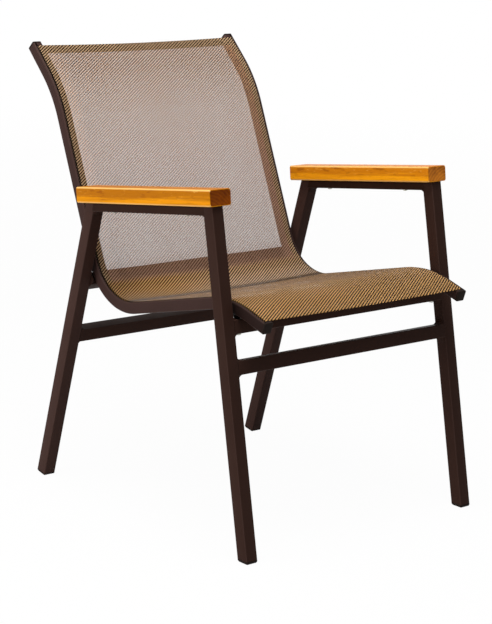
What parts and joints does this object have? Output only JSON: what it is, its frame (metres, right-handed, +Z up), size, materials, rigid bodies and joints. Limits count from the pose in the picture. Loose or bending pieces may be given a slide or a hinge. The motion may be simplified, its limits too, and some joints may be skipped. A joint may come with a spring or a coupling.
{
  "type": "sling patio armchair",
  "caption": "Outdoor armchair: splayed brown square-tube frame, curved rails holding a stretched mesh seat and back, and varnished wooden armrests.",
  "frame": {"origin": "on the floor, at the middle of the chair's width and of its depth from the front soles to the top of the back", "axes": "+Z is up, the sitter faces -Y, and the sitter's left hand is at +X"},
  "size_m": [0.587, 0.7384, 0.8479],
  "materials": {
    "powder_coat": "satin dark brown powder coat",
    "black_plastic": "moulded black, low sheen",
    "mesh_fabric": "open twill of coated yarn, golden tan and brown",
    "varnished_wood": "amber varnish over straight grain",
    "zinc_steel": "zinc plated",
    "spline_plastic": "plain extruded rod"
  },
  "bodies": {
    "root": {"arm_bar_left": "powder_coat", "arm_bar_right": "powder_coat", "armrest_left": "varnished_wood", "armrest_right": "varnished_wood", "armrest_screw_front_left": "zinc_steel", "armrest_screw_front_right": "zinc_steel", "armrest_screw_rear_left": "zinc_steel", "armrest_screw_rear_right": "zinc_steel", "front_foot_left": "black_plastic", "front_foot_right": "black_plastic", "front_leg_left": "powder_coat", "front_leg_right": "powder_coat", "front_seat_tube": "powder_coat", "front_stretcher": "powder_coat", "lumbar_bolt_left": "zinc_steel", "lumbar_bolt_right": "zinc_steel", "lumbar_nut_left": "zinc_steel", "lumbar_nut_right": "zinc_steel", "lumbar_spacer_left": "black_plastic", "lumbar_spacer_right": "black_plastic", "lumbar_tube": "powder_coat", "rail_front_cap_left": "black_plastic", "rail_front_cap_right": "black_plastic", "rail_top_cap_left": "black_plastic", "rail_top_cap_right": "black_plastic", "rear_foot_left": "black_plastic", "rear_foot_right": "black_plastic", "rear_leg_left": "powder_coat", "rear_leg_right": "powder_coat", "rear_stretcher": "powder_coat", "seat_bolt_left": "zinc_steel", "seat_bolt_right": "zinc_steel", "seat_nut_left": "zinc_steel", "seat_nut_right": "zinc_steel", "seat_spacer_left": "black_plastic", "seat_spacer_right": "black_plastic", "sling": "mesh_fabric", "sling_rail_left": "powder_coat", "sling_rail_right": "powder_coat", "spline_rod_left": "spline_plastic", "spline_rod_right": "spline_plastic"}
  },
  "joints": []
}
